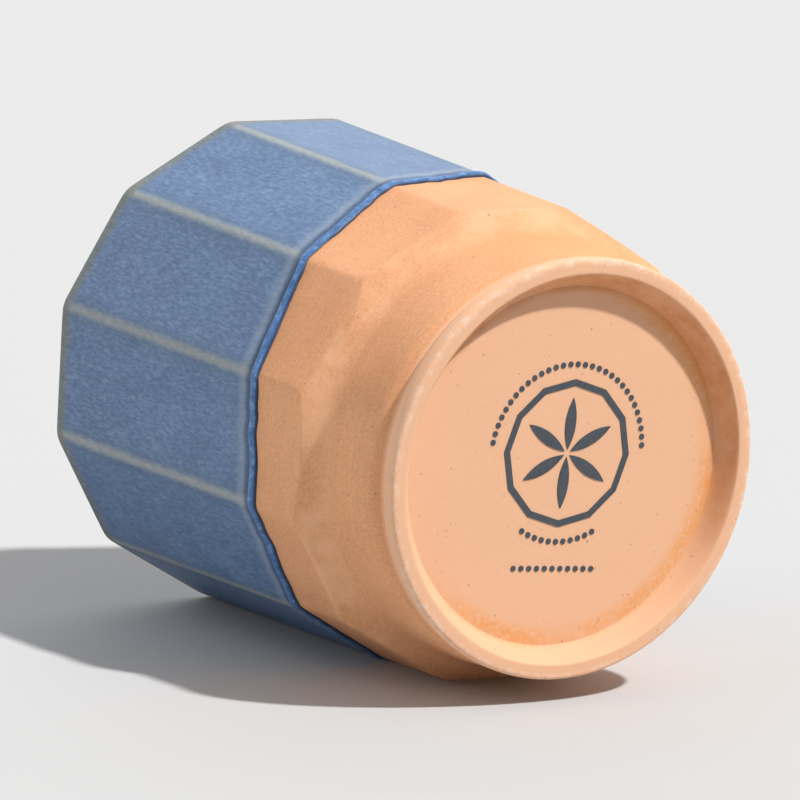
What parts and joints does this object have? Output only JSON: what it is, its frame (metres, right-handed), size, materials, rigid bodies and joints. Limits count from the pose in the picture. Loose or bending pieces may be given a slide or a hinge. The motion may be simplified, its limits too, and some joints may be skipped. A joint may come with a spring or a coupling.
{
  "type": "shaving mug",
  "caption": "Handleless faceted stoneware shaving mug with a blue glaze, a bare clay foot and a round cavity for soap and brush.",
  "frame": {"origin": "centre of the foot ring's underside, on the mug's own axis", "axes": "+Z from the foot up to the mouth along the axis; +X through one ridge of the twelve flat sides; +Y through the ridge a quarter turn on"},
  "size_m": [0.086, 0.086, 0.096],
  "materials": {
    "bare_clay": "bare fired stoneware, dry and finely grained",
    "floor_clay": "bare fired stoneware, dry and finely grained",
    "foot_clay": "bare fired stoneware, rubbed smooth",
    "blue_glaze": "satin glaze with fine crystal streaks",
    "roll_glaze": "thick satin glaze",
    "lip_glaze": "thin satin glaze breaking to olive grey",
    "liner_glaze": "satin glaze",
    "mark_ink": "matt fired stamp"
  },
  "bodies": {
    "root": {"clay_wall": "bare_clay", "clay_floor": "floor_clay", "foot_ring": "foot_clay", "outer_glaze": "blue_glaze", "glaze_roll": "roll_glaze", "lip_glaze": "lip_glaze", "inner_glaze": "liner_glaze", "mark_outline": "mark_ink", "mark_rosette": "mark_ink", "mark_dots": "mark_ink"}
  },
  "joints": []
}
